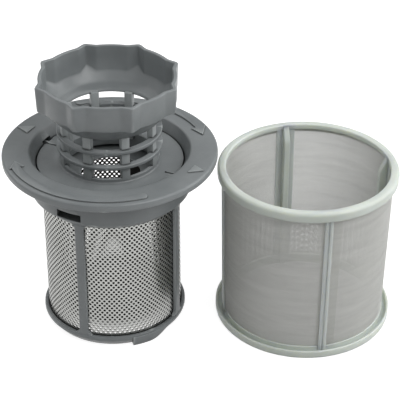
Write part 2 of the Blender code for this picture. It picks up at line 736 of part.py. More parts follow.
def make_sleeve_frame(shop, material):
    """Top ring, foot ring and upright ribs of the sleeve, moulded in one piece."""
    ring_profile = (
        rounded(SLEEVE_RING_RADIUS, SLEEVE_RING_TOP, SLEEVE_RING_ROUND, 1, 1)
        + list(reversed(rounded(SLEEVE_RING_RADIUS, SLEEVE_RING_LOW, SLEEVE_RING_ROUND, 1, -1)))
        + [(SLEEVE_RING_BORE, SLEEVE_RING_LOW)]
        + list(reversed(rounded(SLEEVE_RING_BORE, SLEEVE_RING_TOP, SLEEVE_RING_ROUND, -1, 1)))
    )
    frame = shop.turned("sleeve_frame", ring_profile, SLEEVE_SEGMENTS, material)

    wall_radius = SLEEVE_MESH_BASE_RADIUS + TOUCH_GAP
    foot_profile = (
        [
            (SLEEVE_FOOT_RADIUS - SLEEVE_LIP_WALL, SLEEVE_LIP_HEIGHT),
            (SLEEVE_FOOT_RADIUS, SLEEVE_LIP_HEIGHT),
        ]
        + list(reversed(rounded(SLEEVE_FOOT_RADIUS, 0.0, SLEEVE_FOOT_ROUND, 1, -1)))
        + [
            (SLEEVE_FOOT_BORE, 0.0),
            (SLEEVE_FOOT_BORE, SLEEVE_FOOT_HEIGHT),
            (wall_radius, SLEEVE_FOOT_HEIGHT),
            (wall_radius, SLEEVE_FOOT_FLOOR),
            (SLEEVE_FOOT_RADIUS - SLEEVE_LIP_WALL, SLEEVE_FOOT_FLOOR),
        ]
    )
    foot = shop.turned("sleeve_foot", foot_profile, SLEEVE_SEGMENTS)
    join(frame, foot)

    inner_face = -SLEEVE_MESH_THICKNESS - TOUCH_GAP
    bands = (
        ("rib", SLEEVE_RIB_WIDTH, TOUCH_GAP, TOUCH_GAP + SLEEVE_RIB_PROUD),
        ("band", SLEEVE_BAND_WIDTH, inner_face - SLEEVE_BAND_DEPTH, inner_face),
        (
            "ridge",
            SLEEVE_RIDGE_WIDTH,
            inner_face - SLEEVE_BAND_DEPTH - SLEEVE_RIDGE_DEPTH,
            inner_face - SLEEVE_BAND_DEPTH / 2,
        ),
    )
    for name, width, inner_offset, outer_offset in bands:
        band = shop.turned(
            f"sleeve_{name}s", band_profile(inner_offset, outer_offset), SLEEVE_SEGMENTS
        )
        sectors = shop.blocks(
            f"sleeve_{name}_sectors",
            around(SLEEVE_AZIMUTH, SLEEVE_RIB_COUNT),
            SLEEVE_FOOT_BORE / 2,
            SLEEVE_FOOT_RADIUS + CUTTER_OVERRUN,
            width,
            -CUTTER_OVERRUN,
            SLEEVE_RING_TOP + CUTTER_OVERRUN,
        )
        boolean(band, sectors, "INTERSECT")
        join(frame, band)
    return frame


def make_sleeve_mesh(shop, material):
    """The woven mesh, as the thin tapered tube that it is from a step away."""
    profile = [
        (SLEEVE_MESH_TOP_RADIUS, SLEEVE_MESH_TOP),
        (SLEEVE_MESH_BASE_RADIUS, SLEEVE_MESH_LOW),
        (SLEEVE_MESH_BASE_RADIUS - SLEEVE_MESH_THICKNESS, SLEEVE_MESH_LOW),
        (SLEEVE_MESH_TOP_RADIUS - SLEEVE_MESH_THICKNESS, SLEEVE_MESH_TOP),
    ]
    return shop.turned("sleeve_mesh", profile, SLEEVE_SEGMENTS, material)


def apply_shape(obj):
    """Turns the modifiers into the object's own mesh, smooth apart from its sharp edges."""
    graph = bpy.context.evaluated_depsgraph_get()
    mesh = bpy.data.meshes.new_from_object(obj.evaluated_get(graph))
    obj.modifiers.clear()
    obj.data = mesh
    mesh.name = obj.name
    mesh.shade_smooth()
    mesh.set_sharp_from_angle(angle=SMOOTH_ANGLE)


def main():
    clear_scene()
    parts = new_collection("dishwasher_filter")
    cutters = new_collection("cutters")
    filter_shop = Workshop(new_axis("coarse_filter_axis", FILTER_X), parts, cutters)
    sleeve_shop = Workshop(new_axis("fine_sleeve_axis", SLEEVE_X), parts, cutters)

    grey = new_material(*GREY_PLASTIC)
    natural = new_material(*NATURAL_PLASTIC)
    made = [
        make_filter_body(filter_shop, grey),
        make_perforated_tube(filter_shop, new_material(*PERFORATED_STEEL)),
        make_coarse_insert(filter_shop, grey),
        make_sleeve_frame(sleeve_shop, natural),
        make_sleeve_mesh(sleeve_shop, new_material(*WOVEN_STEEL)),
    ]
    bpy.context.view_layer.update()
    for obj in made:
        apply_shape(obj)


main()
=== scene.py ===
import math

import bmesh
import bpy
from mathutils import Matrix, Vector


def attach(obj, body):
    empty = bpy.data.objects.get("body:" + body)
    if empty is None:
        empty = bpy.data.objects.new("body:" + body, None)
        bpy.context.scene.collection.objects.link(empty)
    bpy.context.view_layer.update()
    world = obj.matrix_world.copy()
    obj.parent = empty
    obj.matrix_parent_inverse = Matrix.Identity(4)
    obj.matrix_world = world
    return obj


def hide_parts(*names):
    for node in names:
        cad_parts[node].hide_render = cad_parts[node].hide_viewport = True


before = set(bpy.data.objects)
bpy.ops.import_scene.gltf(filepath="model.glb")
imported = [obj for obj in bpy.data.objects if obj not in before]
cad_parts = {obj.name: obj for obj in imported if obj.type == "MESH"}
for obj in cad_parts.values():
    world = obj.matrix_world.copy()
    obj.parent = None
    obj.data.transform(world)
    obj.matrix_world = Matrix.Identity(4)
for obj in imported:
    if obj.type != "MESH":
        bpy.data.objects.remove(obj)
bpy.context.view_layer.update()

# Shapes are in millimetres; materials and the stage are in metres. Azimuths are
# degrees from +X, seen from above. Outlines list (radius, height, fillet).
MM = 0.001
SMOOTH_ANGLE = math.radians(34)

# Body of the coarse filter
FILTER_X = -48.7
FILTER_TURN = -113.2
SLOT_AZIMUTHS = (-117.8, 62.2)
NOTCH_AZIMUTHS = (-29.6, 153.3)
LUG_AZIMUTHS = (-56.2, 123.8)
LUG_START = -16.5
LUG_SPAN = 39.0
LUG_STEPS = 24
RIB_COUNT = 4
RIB_FACE = 39.2
RIB_BACK = 37.45
RIB_EDGE = 0.45
RIB_HALF_WIDTH = 2.45
MARK_LOW = 103.2
MARK_HIGH = 104.5
MARK_EDGE = 0.18
ARC_STEPS = 56

# Perforated sheet
SHEET_OUTSIDE = 37.2
SHEET_INSIDE = 36.6
SHEET_LOW = 3.9
SHEET_HIGH = 80.3
SHEET_TURN = FILTER_TURN - 0.25
SEAM_START = 63.5
SEAM_END = 85.0
HOLE_RADIUS = 0.73
HOLES_A_ROW = 88
HOLE_ROWS = 47
FIRST_ROW = 8.134
ROW_RISE = 1.528

# Insert with the grip
TAB_AZIMUTHS = (-29.3, 153.6)
SLIT_AZIMUTHS = (-25.9, 157.0)
POST_COUNT = 8
LOBE_COUNT = 8
LOBE_HALF_ANGLE = 56.0
GRIP_POINTS = 480
GRIP_FLOOR = 132.6
GRIP_TOP = 146.4
FUNNEL_SLOPE = 1.155

# Fine sleeve
SLEEVE_X = 57.3
SLEEVE_TURN = -79.5
BAND_TURN = 2.2
RIDGE_RADIUS = 40.3
RIDGE_BEND = 84.5
RIDGE_SLOPE = 0.47
MESH_LOW = 5.8
MESH_HIGH = 90.0
MESH_ROWS = 10
MESH_SEGMENTS = 240
MESH_WALL = 0.1
MESH_FOOT_RADIUS = 44.9
MESH_FLARE = 1.2 / 81.4
MESH_GIRTH = math.tau * 45.5
WEAVE_PITCH = 0.42

# Stage, in metres and watts
CAMERA_PLACE = (-0.0007, -0.66507, 0.49563)
CAMERA_TILT = math.radians(32.5707)
CAMERA_ROLL = 0.00326
CAMERA_LENS = 130.5
LAMP_AIM = (0.0, 0.0, 0.05)
LAMP_DISTANCE = 1.15
LAMP_SIZE = 0.7
WORLD_LIGHT = 0.05
FLOOR_HALF_SIZE = 3.0
FLOOR_TONE = 0.45
FLOOR_GLOW = 0.85
SHADE_SHARE = 0.8
# Softboxes: name, azimuth, elevation and power
LAMPS = (
    ("key_softbox", -40, 50, 7.3),
    ("front_softbox", -95, 35, 0.9),
    ("right_softbox", 10, 20, 4.8),
    ("right_rear_softbox", 33, 48, 3.0),
    ("rear_softbox", 90, 50, 1.2),
    ("left_rear_softbox", 140, 47, 3.3),
    ("left_softbox", 180, 22, 1.7),
    ("left_front_softbox", -140, 50, 1.7),
)
# Shaded ellipses on the floor, in millimetres: middle in x and y, half size in x and
# y, the share of it that is darkest, and the light that is left there
FLOOR_SHADES = (
    (FILTER_X, 12.0, 37.0, 37.0, 0.7, 0.0),
    (FILTER_X - 4.0, 40.0, 37.0, 46.0, 0.3, 0.35),
    (SLEEVE_X, 0.0, 48.0, 48.0, 0.85, 0.3),
)


# ---------------------------------------------------------------- geometry


def unit(x, y):
    size = math.hypot(x, y) or 1.0
    return x / size, y / size


def polar(radius, azimuth):
    angle = math.radians(azimuth)
    return radius * math.cos(angle), radius * math.sin(angle)


def filleted(corners, steps=5):
    """A closed outline: (x, y) stays sharp, and (x, y, radius) is rounded."""
    result = []
    count = len(corners)
    for i, corner in enumerate(corners):
        x, y = corner[0], corner[1]
        radius = corner[2] if len(corner) > 2 else 0.0
        if radius <= 0:
            result.append((x, y))
            continue
        before, after = corners[i - 1], corners[(i + 1) % count]
        ux, uy = unit(before[0] - x, before[1] - y)
        vx, vy = unit(after[0] - x, after[1] - y)
        half = math.acos(max(-1.0, min(1.0, ux * vx + uy * vy))) / 2
        # A fillet takes less than half of the shorter side beside it
        room = 0.48 * min(
            math.hypot(before[0] - x, before[1] - y),
            math.hypot(after[0] - x, after[1] - y),
        )
        back = min(radius / math.tan(half), room)
        true_radius = back * math.tan(half)
        bx, by = unit(ux + vx, uy + vy)
        reach = true_radius / math.sin(half)
        cx, cy = x + bx * reach, y + by * reach
        start = math.atan2(y + uy * back - cy, x + ux * back - cx)
        end = math.atan2(y + vy * back - cy, x + vx * back - cx)
        turn = (end - start + math.pi) % math.tau - math.pi
        for k in range(steps + 1):
            angle = start + turn * k / steps
            result.append(
                (cx + true_radius * math.cos(angle), cy + true_radius * math.sin(angle))
            )
    return result


def loft(rings, closed=False):
    """A shell of quads through rings of points that all have the same count.

    A closed one joins its last ring to its first. Any other has its ends capped.
    """
    vertices = [point for ring in rings for point in ring]
    size = len(rings[0])
    faces = []
    for i in range(len(rings) if closed else len(rings) - 1):
        j = (i + 1) % len(rings)
        for k in range(size):
            m = (k + 1) % size
            faces.append((i * size + k, i * size + m, j * size + m, j * size + k))
    if not closed:
        faces.append(tuple(reversed(range(size))))
        faces.append(tuple(range((len(rings) - 1) * size, len(rings) * size)))
    return vertices, faces


def stood_up(x, azimuth, outline):
    """A (radius, height) outline, stood up at an azimuth about the axis at x."""
    ring = []
    for radius, height in outline:
        px, py = polar(radius, azimuth)
        ring.append((x + px, py, height))
    return ring


def revolve(x, outline, segments):
    """A closed (radius, height) outline, turned about the upright axis at x."""
    rings = [stood_up(x, 360.0 * i / segments, outline) for i in range(segments)]
    return loft(rings, closed=True)


def strip(x, azimuth, stations):
    """An upright strip on a cylinder. Each station is a height and its section.

    A section lists (radius, sideways) points.
    """
    rings = []
    for height, section in stations:
        ring = []
        for r, side in section:
            angle = math.radians(azimuth) + side / r
            ring.append((x + r * math.cos(angle), r * math.sin(angle), height))
        rings.append(ring)
    return loft(rings)


def mirrored(points):
    """The (radius, sideways) points on the other side of a section, in turn."""
    return [(radius, -side) for radius, side in reversed(points)]


def as_shell(work):
    """The vertices and faces of a bmesh, which is then freed."""
    work.verts.index_update()
    shell = (
        [tuple(vertex.co) for vertex in work.verts],
        [tuple(vertex.index for vertex in face.verts) for face in work.faces],
    )
    work.free()
    return shell


def block(azimuth, inner, outer, width, low, high, edge=0.0, steps=2):
    """A block that stands radially on the coarse filter. An edge rounds it."""
    work = bmesh.new()
    bmesh.ops.create_cube(work, size=1.0)
    for vertex in work.verts:
        vertex.co.x = (inner + outer) / 2 + vertex.co.x * (outer - inner)
        vertex.co.y *= width
        vertex.co.z = (low + high) / 2 + vertex.co.z * (high - low)
    if edge:
        bmesh.ops.bevel(
            work,
            geom=list(work.edges),
            offset=edge,
            segments=steps,
            profile=0.5,
            affect="EDGES",
        )
    turn = Matrix.Rotation(math.radians(azimuth), 4, "Z")
    place = Matrix.Translation((FILTER_X, 0, 0)) @ turn
    bmesh.ops.transform(work, matrix=place, verts=work.verts)
    return as_shell(work)


def relief(outline):
    """A raised mark on the flange, with a rounded top edge, from (x, y) points."""
    work = bmesh.new()
    base = [work.verts.new((FILTER_X + px, py, MARK_LOW)) for px, py in outline]
    raised = bmesh.ops.extrude_face_region(work, geom=[work.faces.new(base)])
    top = [item for item in raised["geom"] if isinstance(item, bmesh.types.BMVert)]
    bmesh.ops.translate(work, vec=(0, 0, MARK_HIGH - MARK_LOW), verts=top)
    bmesh.ops.recalc_face_normals(work, faces=work.faces)
    rim = [
        edge
        for edge in work.edges
        if all(abs(vertex.co.z - MARK_HIGH) < 1e-6 for vertex in edge.verts)
    ]
    bmesh.ops.bevel(
        work, geom=rim, offset=MARK_EDGE, segments=2, profile=0.5, affect="EDGES"
    )
    return as_shell(work)


def new_mesh(name, shells):
    work = bmesh.new()
    for vertices, faces in shells:
        made = [work.verts.new(point) for point in vertices]
        for face in faces:
            work.faces.new([made[i] for i in face])
    bmesh.ops.recalc_face_normals(work, faces=work.faces)
    mesh = bpy.data.meshes.new(name)
    work.to_mesh(mesh)
    work.free()
    return mesh


def carve(shell, cutters):
    """The shell with every cutter taken out of it. The cutters stand apart."""
    target = bpy.data.objects.new("carved", new_mesh("carved", [shell]))
    tool = bpy.data.objects.new("carver", new_mesh("carver", cutters))
    for item in (target, tool):
        bpy.context.scene.collection.objects.link(item)
    modifier = target.modifiers.new("Cut", "BOOLEAN")
    modifier.operation = "DIFFERENCE"
    modifier.solver = "EXACT"
    modifier.object = tool
    graph = bpy.context.evaluated_depsgraph_get()
    graph.update()
    mesh = bpy.data.meshes.new_from_object(target.evaluated_get(graph))
    result = (
        [tuple(vertex.co) for vertex in mesh.vertices],
        [tuple(face.vertices) for face in mesh.polygons],
    )
    for item in (target, tool):
        bpy.data.objects.remove(item, do_unlink=True)
    bpy.data.meshes.remove(mesh)
    return result


def new_piece(node, mesh, material, smooth=SMOOTH_ANGLE):
    """The finished object in metres, which takes the place of a CAD node."""
    mesh.transform(Matrix.Scale(MM, 4))
    mesh.shade_smooth()
    mesh.set_sharp_from_angle(angle=smooth)
    mesh.materials.append(material)
    piece = bpy.data.objects.new(f"{node}_look", mesh)
    bpy.context.scene.collection.objects.link(piece)
    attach(piece, "root")
    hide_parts(node)
    return piece


# ---------------------------------------------------------------- materials


class Nodes:
    """A short way to write a material's nodes."""

    def __init__(self, name):
        self.material = bpy.data.materials.new(name)
        self.material.use_nodes = True
        self.tree = self.material.node_tree
        self.shader = self.tree.nodes["Principled BSDF"]

    def add(self, kind):
        return self.tree.nodes.new(kind)

    def feed(self, socket, value):
        """Sets a constant on the socket, or links another node's output to it."""
        if isinstance(value, (int, float, tuple)):
            socket.default_value = value
        else:
            self.tree.links.new(value, socket)

    def coordinates(self, scale=(1, 1, 1)):
        mapping = self.add("ShaderNodeMapping")
        mapping.inputs["Scale"].default_value = scale
        place = self.add("ShaderNodeTexCoord").outputs["Object"]
        self.feed(mapping.inputs["Vector"], place)
        return mapping.outputs["Vector"]

    def noise(self, vector, scale, detail=3.0, rough=0.5):
        node = self.add("ShaderNodeTexNoise")
        node.inputs["Scale"].default_value = scale
        node.inputs["Detail"].default_value = detail
        node.inputs["Roughness"].default_value = rough
        self.feed(node.inputs["Vector"], vector)
        return node.outputs["Fac"]

    def spread(self, value, low, high, from_low=0.3, from_high=0.7, smooth=False):
        """Maps a value from one range to another, and clamps it."""
        node = self.add("ShaderNodeMapRange")
        if smooth:
            node.interpolation_type = "SMOOTHSTEP"
        node.inputs["From Min"].default_value = from_low
        node.inputs["From Max"].default_value = from_high
        node.inputs["To Min"].default_value = low
        node.inputs["To Max"].default_value = high
        self.feed(node.inputs["Value"], value)
        return node.outputs["Result"]

    def ramp(self, value, stops):
        node = self.add("ShaderNodeValToRGB")
        elements = node.color_ramp.elements
        while len(elements) < len(stops):
            elements.new(0.5)
        for element, (place, colour) in zip(elements, stops):
            element.position = place
            element.color = (*colour, 1.0)
        self.feed(node.inputs["Fac"], value)
        return node.outputs["Color"]

    def maths(self, operation, first, second=0.0, third=0.0):
        node = self.add("ShaderNodeMath")
        node.operation = operation
        for socket, value in zip(node.inputs, (first, second, third)):
            self.feed(socket, value)
        return node.outputs["Value"]

    def vector_maths(self, operation, first, second=(0.0, 0.0, 0.0)):
        node = self.add("ShaderNodeVectorMath")
        node.operation = operation
        self.feed(node.inputs[0], first)
        self.feed(node.inputs[1], second)
        return node.outputs["Value" if operation == "LENGTH" else "Vector"]

    def mix(self, factor, first, second, blend="MIX"):
        node = self.add("ShaderNodeMix")
        node.data_type = "RGBA"
        node.blend_type = blend
        self.feed(node.inputs["Factor"], factor)
        # The colour sockets of a mix node, after those of its other data types
        self.feed(node.inputs[6], first)
        self.feed(node.inputs[7], second)
        return node.outputs[2]

    def bump(self, height, strength, distance, below=None):
        node = self.add("ShaderNodeBump")
        node.inputs["Strength"].default_value = strength
        node.inputs["Distance"].default_value = distance
        self.feed(node.inputs["Height"], height)
        if below is not None:
            self.feed(node.inputs["Normal"], below)
        return node.outputs["Normal"]

    def set(self, **values):
        for key, value in values.items():
            self.feed(self.shader.inputs[key.replace("_", " ")], value)


def paint_edge_highlights(make, colour, tone, low, high):
    """Painted highlight: mixes a paler tone in where the surface is sharply convex,
    where edges catch the light.
    """
    shape = make.add("ShaderNodeNewGeometry")
    share = make.spread(shape.outputs["Pointiness"], 0.0, 1.0, low, high)
    return make.mix(share, colour, (*tone, 1.0))


def paint_crease_shade(make, colour, distance, least, low, high):
    """Painted shade: darkens the colour where other surfaces stand close, in creases,
    corners and under overhangs.
    """
    near = make.add("ShaderNodeAmbientOcclusion")
    near.samples = 8
    near.inputs["Distance"].default_value = distance
    share = make.spread(near.outputs["AO"], least, 1.0, low, high)
    return make.mix(1.0, colour, share, "MULTIPLY")


def grey_plastic():
    """Moulded grey plastic: faint mottling, fine grain and slight waviness, with painted
    highlights on its edges and painted shade in its creases and under overhangs.
    """
    make = Nodes("grey_plastic_moulded")
    place = make.coordinates()
    colour = make.ramp(
        make.noise(place, 55.0, 4.0, 0.55),
        [
            (0.3, (0.188, 0.203, 0.208)),
            (0.5, (0.205, 0.221, 0.226)),
            (0.72, (0.226, 0.242, 0.246)),
        ],
    )
    # Painted highlight along sharp convex edges
    colour = paint_edge_highlights(make, colour, (0.46, 0.49, 0.49), 0.53, 0.61)
    # Painted shade in narrow creases and gaps, about a millimetre across
    colour = paint_crease_shade(make, colour, 0.0011, 0.26, 0.5, 0.95)
    # Painted shade in recesses and under overhangs, over a few centimetres
    colour = paint_crease_shade(make, colour, 0.02, 0.58, 0.25, 0.7)
    roughness = make.spread(make.noise(place, 240.0), 0.3, 0.44)
    waves = make.bump(make.noise(place, 130.0, 2.0), 0.12, 0.0006)
    normal = make.bump(make.noise(place, 2600.0, 2.0), 0.16, 0.00012, waves)
    make.set(Base_Color=colour, Roughness=roughness, Normal=normal)
    make.set(IOR=1.5, Specular_IOR_Level=0.5)
    return make.material


def perforated_steel():
    """Rolled stainless sheet, faintly brushed around the tube."""
    make = Nodes("perforated_steel_rolled")
    colour = make.ramp(
        make.noise(make.coordinates(), 40.0),
        [
            (0.3, (0.36, 0.365, 0.35)),
            (0.55, (0.41, 0.415, 0.40)),
            (0.8, (0.45, 0.455, 0.44)),
        ],
    )
    brushed = make.noise(make.coordinates((1, 1, 14)), 700.0)
    roughness = make.spread(brushed, 0.2, 0.36)
    normal = make.bump(brushed, 0.1, 0.0001)
    make.set(Base_Color=colour, Roughness=roughness, Normal=normal, Metallic=1.0)
    return make.material


def shaded_steel():
    """The same sheet on its inner side and in its holes, darkened as painted shade."""
    make = Nodes("perforated_steel_painted_shade")
    place = make.coordinates()
    colour = make.ramp(
        make.noise(place, 60.0),
        [(0.3, (0.012, 0.012, 0.011)), (0.7, (0.022, 0.022, 0.02))],
    )
    roughness = make.spread(make.noise(place, 300.0), 0.45, 0.6)
    normal = make.bump(make.noise(place, 900.0, 2.0), 0.1, 0.0001)
    make.set(Base_Color=colour, Roughness=roughness, Normal=normal, Metallic=0.8)
    return make.material


def natural_plastic():
    """Milky uncoloured plastic, slightly waxy and greenish."""
    make = Nodes("natural_plastic_moulded")
    place = make.coordinates()
    colour = make.ramp(
        make.noise(place, 45.0, 4.0),
        [
            (0.3, (0.57, 0.615, 0.575)),
            (0.5, (0.615, 0.66, 0.62)),
            (0.75, (0.66, 0.70, 0.66)),
        ],
    )
    roughness = make.spread(make.noise(place, 200.0), 0.3, 0.45)
    normal = make.bump(make.noise(place, 2200.0, 2.0), 0.12, 0.0001)
    make.set(Base_Color=colour, Roughness=roughness, Normal=normal, IOR=1.5)
    make.set(Subsurface_Weight=0.8, Subsurface_Scale=0.004)
    make.set(Subsurface_Radius=(1.0, 0.95, 0.75))
    return make.material


def woven_steel():
    """Plain weave of fine steel wire, open between the wires.

    The UV map is in millimetres, around and up.
    """
    make = Nodes("woven_steel_mesh")
    split = make.add("ShaderNodeSeparateXYZ")
    make.feed(split.inputs["Vector"], make.add("ShaderNodeUVMap").outputs["UV"])
    phases = [
        make.maths("MULTIPLY", split.outputs[way], math.pi / WEAVE_PITCH) for way in "XY"
    ]
    warp, weft = [make.maths("ABSOLUTE", make.maths("SINE", phase)) for phase in phases]
    alpha = make.spread(make.maths("MAXIMUM", warp, weft), 0.0, 1.0, 0.69, 0.79)
    streak = make.noise(make.coordinates((0.12, 0.12, 1)), 300.0, 3.0, 0.6)
    colour = make.ramp(
        streak,
        [
            (0.3, (0.72, 0.725, 0.695)),
            (0.5, (0.78, 0.785, 0.755)),
            (0.75, (0.83, 0.835, 0.805)),
        ],
    )
    normal = make.bump(make.maths("ADD", warp, weft), 0.9, 0.0002)
    make.set(Base_Color=colour, Roughness=0.7, Metallic=0.2, Alpha=alpha, Normal=normal)
    return make.material


def shaded_floor(make):
    """One where the floor lies open, and less where a piece stands on or shades it."""
    place = make.add("ShaderNodeTexCoord").outputs["Object"]
    lit = None
    for x, y, half_x, half_y, dark, least in FLOOR_SHADES:
        away = make.vector_maths("SUBTRACT", place, (x * MM, y * MM, 0.0))
        scale = (1.0 / (half_x * MM), 1.0 / (half_y * MM), 0.0)
        reach = make.vector_maths("LENGTH", make.vector_maths("MULTIPLY", away, scale))
        light = make.spread(reach, least, 1.0, dark, 1.0, smooth=True)
        lit = light if lit is None else make.maths("MINIMUM", lit, light)
    return lit


def floor_material():
    """White, and clipped to white where the camera sees it, with the shadow kept."""
    make = Nodes("white_floor")
    path = make.add("ShaderNodeLightPath").outputs
    lit = shaded_floor(make)
    shown = make.maths("MULTIPLY_ADD", lit, SHADE_SHARE, 1.0 - SHADE_SHARE)
    unseen = make.maths("SUBTRACT", 1.0, path["Is Camera Ray"])
    tone = make.maths("MULTIPLY", make.maths("MAXIMUM", shown, unseen), FLOOR_TONE)
    diffuse = make.add("ShaderNodeBsdfDiffuse")
    make.feed(diffuse.inputs["Color"], tone)
    seen = make.maths("MULTIPLY", path["Is Camera Ray"], lit)
    mirrored_rays = make.maths(
        "MAXIMUM", path["Is Glossy Ray"], path["Is Transmission Ray"]
    )
    bright = make.maths("MAXIMUM", seen, mirrored_rays)
    glow = make.add("ShaderNodeEmission")
    make.feed(glow.inputs["Strength"], make.maths("MULTIPLY", bright, FLOOR_GLOW))
    both = make.add("ShaderNodeAddShader")
    make.feed(both.inputs[0], diffuse.outputs[0])
    make.feed(both.inputs[1], glow.outputs[0])
    make.tree.nodes.remove(make.shader)
    make.feed(make.tree.nodes["Material Output"].inputs["Surface"], both.outputs[0])
    return make.material


# ---------------------------------------------------------------- coarse filter body


def body_main():
    """Flange, recess, skirt and collar, with the slots and notches cut into them."""
    outline = filleted(
        [
            (57.5, 103.7, 1.5),
            (57.5, 99.7, 0.6),
            (55.0, 99.7, 0.15),
            (55.0, 98.0, 0.35),
            (43.2, 98.0, 1.7),
            (43.2, 90.0),
            (43.2, 82.0, 0.9),
            (39.3, 78.2, 0.5),
            (37.5, 78.2, 0.15),
            (37.5, 80.7),
            (34.8, 80.7, 0.2),
            (34.8, 81.9, 0.2),
            (41.2, 82.8, 0.4),
            (41.2, 90.7, 0.4),
            (36.3, 90.7, 0.2),
            (36.3, 92.7, 0.2),
            (39.8, 92.7, 0.2),
            (39.8, 97.2, 0.3),
            (42.8, 103.7, 1.6),
        ]
    )
    cutters = [block(at, 39.0, 46.0, 14.3, 82.8, 87.0, 0.3, 1) for at in SLOT_AZIMUTHS]
    cutters += [block(at, 37.0, 42.4, 7.8, 93.4, 98.6, 0.3, 1) for at in NOTCH_AZIMUTHS]
    return carve(revolve(FILTER_X, outline, 240), cutters)


def base_ring():
    outline = filleted(
        [
            (39.2, 6.5, 0.25),
            (39.6, 5.6, 0.2),
            (39.6, 4.2, 0.3),
            (36.4, 0.0, 0.5),
            (34.9, 0.0, 0.4),
            (34.9, 3.5, 0.1),
            (37.5, 3.5, 0.1),
            (37.5, 6.5, 0.2),
        ],
        3,
    )
    return revolve(FILTER_X, outline, 200)


def rib_section(half):
    """A cage rib with rounded outer edges. Its back is buried in the sheet."""
    inset = RIB_FACE - RIB_EDGE
    corner = []
    for i in range(4):
        turn = math.radians(30 * i)
        out = inset + RIB_EDGE * math.sin(turn)
        corner.append((out, -half + RIB_EDGE - RIB_EDGE * math.cos(turn)))
    face = [(RIB_FACE, (RIB_EDGE - half) * (1 - 2 * i / 5)) for i in range(1, 5)]
    back = [(RIB_BACK, half), (RIB_BACK, 0.0), (RIB_BACK, -half)]
    return corner + face + mirrored(corner) + back


def cage_ribs():
    """Four ribs, which widen into the rings at both ends."""
    widths = [(5.0, 4.9), (6.4, 4.9), (7.0, 4.2), (8.0, 3.2), (8.6, 2.75), (9.4, 2.5)]
    widths += [(height, RIB_HALF_WIDTH) for height in (11.0, 25.0, 40.0, 58.0, 73.8)]
    widths += [(75.4, 2.5), (76.1, 2.75), (76.8, 3.2), (77.7, 4.2), (78.3, 4.9)]
    widths += [(79.2, 4.9)]
    stations = [(height, rib_section(half)) for height, half in widths]
    step = 360 / RIB_COUNT
    return [strip(FILTER_X, FILTER_TURN + step * k, stations) for k in range(RIB_COUNT)]


def lug(azimuth):
    """A bayonet lug under the base ring, with a square start and a ramp at its end."""
    rings = []
    for i in range(LUG_STEPS + 1):
        turn = LUG_START + LUG_SPAN * i / LUG_STEPS
        ramp = max(0.0, min(1.0, (turn + 2.0) / 24.0))
        ramp = ramp * ramp * (3 - 2 * ramp)
        outer = 40.1 - 0.7 * ramp
        low = 0.4 + 3.8 * ramp
        section = filleted(
            [(outer, 5.6, 0.35), (outer, low, 0.4), (37.2, min(low, 3.2)), (37.2, 5.6)],
            3,
        )
        rings.append(stood_up(FILTER_X, azimuth + turn, section))
    return loft(rings)


def arc(radius, start, end):
    turns = [(end - start) * i / ARC_STEPS for i in range(ARC_STEPS + 1)]
    return [polar(radius, start + turn) for turn in turns]


def arrow(tail, neck, head, low, high, barb_low, barb_high, tip_radius):
    """A curved turn arrow, with a rounded tail and a pointed head.

    It lies between the radii low and high, and its barbs reach past them.
    """
    direction = 1 if tail > neck else -1
    points = arc(high, tail, neck)
    points += [
        polar(barb_high, neck),
        polar(tip_radius, head),
        polar(barb_low, neck),
    ]
    points += arc(low, neck, tail)
    middle = (low + high) / 2
    half = (high - low) / 2
    for i in range(1, 8):
        turn = math.radians(-90 + 180 * i / 8)
        sweep = direction * half * math.cos(turn) / middle
        points.append(polar(middle + half * math.sin(turn), tail + math.degrees(sweep)))
    return points


def flange_marks():
    marks = [
        [polar(48.9, -31.4), polar(55.3, -25.6), polar(49.0, -22.4)],
        [polar(47.4, 152.4), polar(55.7, 157.5), polar(48.0, 162.0)],
        arrow(-68.5, -155.5, -163.0, 50.0, 54.6, 48.0, 56.0, 51.2),
        arrow(111.5, 24.5, 15.2, 50.0, 54.6, 47.6, 55.6, 51.2),
    ]
    return [relief(mark) for mark in marks]


def make_body(material):
    shells = [body_main(), base_ring()]
    shells += cage_ribs()
    shells += [lug(azimuth) for azimuth in LUG_AZIMUTHS]
    shells += flange_marks()
    mesh = new_mesh("filter_body_look", shells)
    return new_piece("filter_body", mesh, material)


# ---------------------------------------------------------------- perforated tube


